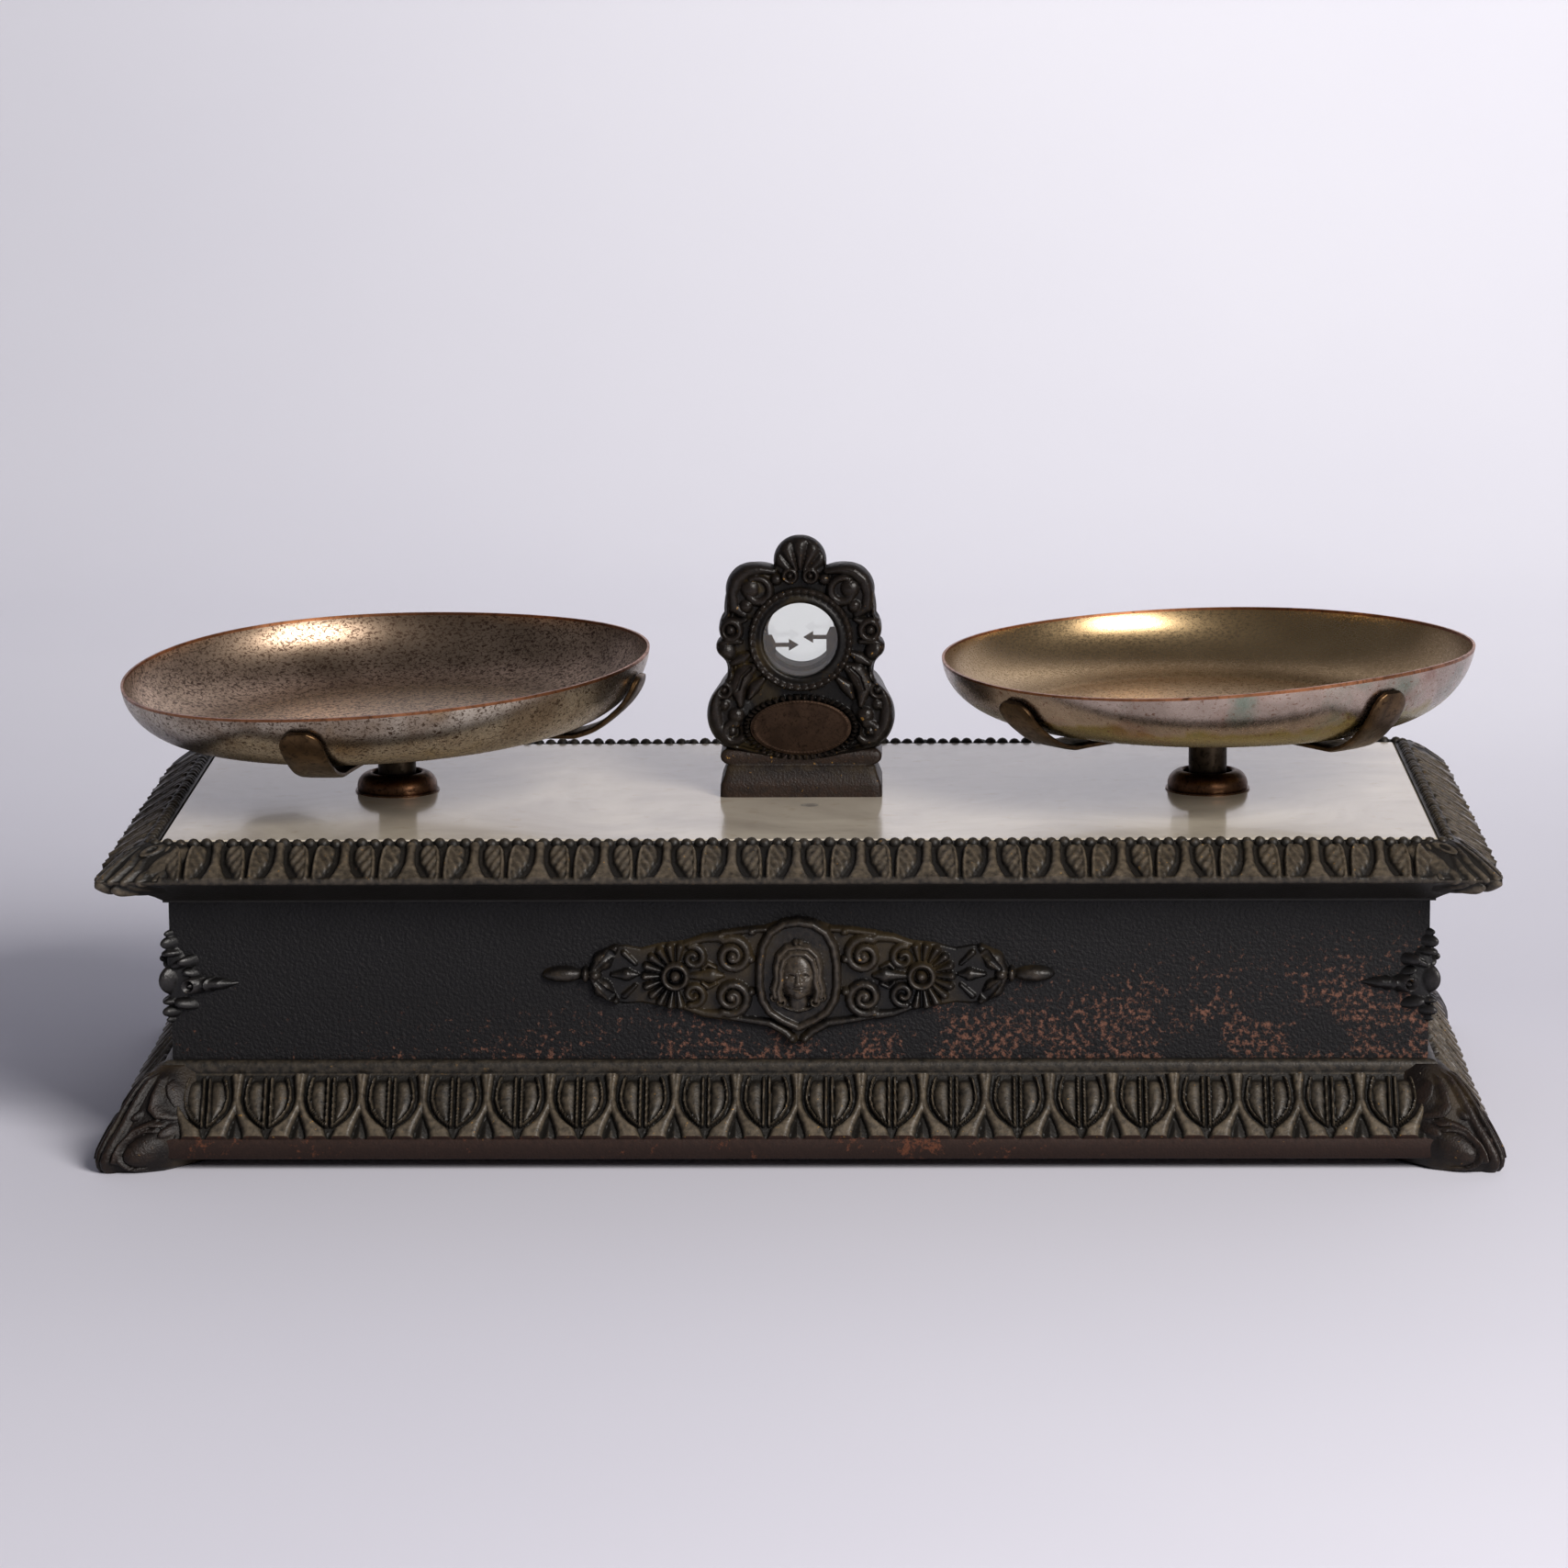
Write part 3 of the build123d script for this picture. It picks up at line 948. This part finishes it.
    with BuildPart() as carrier_bearings:
        for edge_x, edge_z, gap in ((knife_x, knife_z, KNIFE_GAP), (inner_x, inner_z, LOOSE_KNIFE_GAP)):
            for layer in pair_of_layers(side_plane(edge_x, edge_z), PRONG_INNER, PRONG_OUTER):
                with BuildSketch(layer):
                    bearing(1, gap)
                extrude(amount=prong_depth)
    keep(carrier_bearings, f"carrier_bearings_{side}")

    # Pointer: a strip riveted into the carrier bar, an upright blade and an arrow in the window
    with BuildPart() as pointer:
        arrow_z = DECK + POINTER_HEIGHT + rise
        barb = POINTER_TIP + POINTER_HEAD
        blade_outer = POINTER_INNER + POINTER_WIDTH
        strip_end = abs(bar_inner) + POINTER_LAP
        strip_top = carrier_middle - arrow_z + POINTER_STRIP / 2
        strip_bottom = strip_top - POINTER_STRIP
        outline = [(POINTER_TIP, 0), (barb, POINTER_SPREAD), (barb, POINTER_SHAFT / 2),
                   (POINTER_INNER, POINTER_SHAFT / 2), (POINTER_INNER + POINTER_SHAFT, POINTER_RISE),
                   (blade_outer, POINTER_RISE), (blade_outer, strip_top), (strip_end, strip_top),
                   (strip_end, strip_bottom), (POINTER_INNER, strip_bottom),
                   (POINTER_INNER, -POINTER_SHAFT / 2), (barb, -POINTER_SHAFT / 2), (barb, -POINTER_SPREAD)]
        with BuildSketch(side_plane(0, arrow_z)):
            Polygon(*[(sign * x, z) for x, z in outline], align=None)
            with Locations(*[(x, z - arrow_z) for x, z in rivets]):
                Circle(RIVET_RADIUS + FIXING_CLEARANCE, mode=Mode.SUBTRACT)
        extrude(amount=POINTER_THICKNESS / 2, both=True)
    keep(pointer, f"pointer_{side}")

    with BuildPart() as pointer_rivets:
        with BuildSketch(Plane.XZ):
            with Locations(*rivets):
                Circle(RIVET_RADIUS)
        extrude(amount=CARRIER_DEPTH / 2, both=True)
    keep(pointer_rivets, f"pointer_rivets_{side}")

    # Stem: shouldered on the carrier's boss, riveted over the spider's hub
    with BuildPart() as pan_stem:
        for bottom, top, radius in ((boss_bottom - NUT_HEIGHT - STEM_END, boss_top, STEM_SPIGOT_RADIUS),
                                    (boss_top, hub_bottom, STEM_RADIUS),
                                    (hub_bottom, hub_top, STEM_RIVET_RADIUS),
                                    (hub_top, hub_top + STEM_RIVET_RISE, STEM_RIVET_HEAD)):
            with BuildSketch(Plane.XY.offset(bottom)):
                with Locations((stem_x, 0)):
                    Circle(radius)
            extrude(amount=top - bottom)
    keep(pan_stem, f"pan_stem_{side}")

    with BuildPart() as stem_nut:
        with BuildSketch(Plane.XY.offset(boss_bottom - NUT_HEIGHT)):
            with Locations((stem_x, 0)):
                RegularPolygon(NUT_WIDTH / 2, 6, major_radius=False)
                Circle(STEM_SPIGOT_RADIUS + FIXING_CLEARANCE, mode=Mode.SUBTRACT)
        extrude(amount=NUT_HEIGHT)
    keep(stem_nut, f"stem_nut_{side}")

    # Pan and spider share one axis, which leans on the left because that spider is bent
    leans = sign < 0
    slope_x = tan(radians(LEFT_PAN_LEAN_X)) if leans else 0.0
    slope_y = tan(radians(LEFT_PAN_LEAN_Y)) if leans else 0.0
    tray_x = stem_x + (LEFT_PAN_SHIFT if leans else RIGHT_PAN_SHIFT)
    tray_z = pan_z - (LEFT_PAN_SINK if leans else 0.0)
    tray = Plane(origin=(tray_x, 0, tray_z), x_dir=(1, 0, slope_x), z_dir=(-slope_x, -slope_y, 1))
    with BuildPart() as pan_spider:
        with BuildSketch(Plane.XY.offset(hub_bottom)):
            with Locations((stem_x, 0)):
                Circle(HUB_RADIUS)
        extrude(amount=HUB_THICKNESS)
        for number in range(ARM_COUNT):
            angle = (LEFT_ARM_ANGLE if leans else RIGHT_ARM_ANGLE) + number * 360 / ARM_COUNT
            add(spider_arm.part.rotate(Axis.Z, angle).moved(tray.location))
        with BuildSketch(Plane.XY.offset(hub_bottom)):
            with Locations((stem_x, 0)):
                Circle(STEM_RIVET_RADIUS + FIXING_CLEARANCE)
        extrude(amount=HUB_THICKNESS, mode=Mode.SUBTRACT)
    keep(pan_spider, f"pan_spider_{side}")

    with BuildPart() as pan:
        rim_turn = degrees(asin((PAN_RADIUS - PAN_FLOOR_RADIUS) / PAN_WALL_RADIUS))
        with BuildSketch(Plane(origin=tray.origin, x_dir=tray.x_dir, z_dir=-tray.y_dir)):
            with BuildLine():
                Polyline(off_wall(0, -PAN_SHEET), (0, PAN_SHEET), (0, 0), off_wall(0, 0))
                ThreePointArc(off_wall(0, 0), off_wall(rim_turn / 2, 0), off_wall(rim_turn, 0))
                Line(off_wall(rim_turn, 0), off_wall(rim_turn, -PAN_SHEET))
                ThreePointArc(off_wall(rim_turn, -PAN_SHEET), off_wall(rim_turn / 2, -PAN_SHEET),
                              off_wall(0, -PAN_SHEET))
            make_face()
        revolve(axis=Axis(tray.origin, tray.z_dir))
    keep(pan, f"pan_{side}")

# Front cartouche: shield, scrolls, rosettes and spears on one cast plate
wall_face = side_plane(0, ORNAMENT_HEIGHT).offset(HALF_DEPTH)
volutes = [(x * VOLUTE_X, z * VOLUTE_Z) for x in (-1, 1) for z in (-1, 1)]
with BuildPart() as front_cartouche:
    with BuildSketch(wall_face):
        Ellipse(SHIELD_HALF_WIDTH, SHIELD_HALF_HEIGHT)
        Polygon((-SHIELD_HALF_WIDTH, -VOLUTE_Z), (SHIELD_HALF_WIDTH, -VOLUTE_Z), (0, -DROP_Z), align=None)
        with Locations(*volutes):
            Circle(VOLUTE_RADIUS)
        Rectangle(2 * CALYX_X, 2 * VOLUTE_Z)
        with Locations((-ROSETTE_X, 0), (ROSETTE_X, 0)):
            Circle(ROSETTE_RADIUS)
        with Locations((-CALYX_X, 0), (CALYX_X, 0)):
            Circle(CALYX_RADIUS)
        Polygon((-CARTOUCHE_HALF_LENGTH, 0), (-CALYX_X, SPEAR_RADIUS), (CALYX_X, SPEAR_RADIUS),
                (CARTOUCHE_HALF_LENGTH, 0), (CALYX_X, -SPEAR_RADIUS), (-CALYX_X, -SPEAR_RADIUS), align=None)
    extrude(amount=CARTOUCHE_PLATE)
    with BuildSketch(wall_face.offset(CARTOUCHE_PLATE)):
        Ellipse(SHIELD_HALF_WIDTH, SHIELD_HALF_HEIGHT)
    with BuildSketch(wall_face.offset(CARTOUCHE_PLATE + SHIELD_RISE)):
        Ellipse(SHIELD_HALF_WIDTH / 2, SHIELD_HALF_HEIGHT / 2)
    loft()
    with BuildSketch(wall_face.offset(CARTOUCHE_PLATE)):
        with Locations(*volutes):
            Circle(VOLUTE_RADIUS * 0.7)
        with Locations((-ROSETTE_X, 0), (ROSETTE_X, 0)):
            Circle(ROSETTE_EYE)
    extrude(amount=VOLUTE_RISE, taper=15)
keep(front_cartouche, "front_cartouche")

# Corner ornaments: a turned boss on the edge, with a button and a spear on each wall
for corner, (sign_x, sign_y) in CORNERS.items():
    edge_x = sign_x * HALF_LENGTH
    edge_y = sign_y * HALF_DEPTH
    with BuildPart() as corner_ornament:
        with BuildSketch(side_plane(edge_x, ORNAMENT_HEIGHT).offset(-edge_y)):
            with BuildLine():
                ThreePointArc((0, -CORNER_HALF_HEIGHT), (CORNER_RADIUS, 0), (0, CORNER_HALF_HEIGHT))
                Line((0, CORNER_HALF_HEIGHT), (0, -CORNER_HALF_HEIGHT))
            make_face()
        revolve(axis=Axis((edge_x, edge_y, 0), (0, 0, 1)))
        for along in ((-sign_x, 0, 0), (0, -sign_y, 0)):
            across = (0, sign_y, 0) if along[0] else (sign_x, 0, 0)
            with BuildSketch(Plane(origin=(edge_x, edge_y, ORNAMENT_HEIGHT), x_dir=along, z_dir=across)):
                with Locations((CORNER_BUTTON_X, 0)):
                    Circle(CORNER_BUTTON_RADIUS)
                Polygon((0, CORNER_BUTTON_RADIUS), (CORNER_ARM, 0), (0, -CORNER_BUTTON_RADIUS), align=None)
            extrude(amount=CORNER_PLATE)
        with BuildSketch(Plane.XY.offset(SEAM)):
            Rectangle(CASE_LENGTH, CASE_DEPTH)
        extrude(amount=WALL_HEIGHT, mode=Mode.SUBTRACT)
    keep(corner_ornament, f"corner_ornament_{corner}")
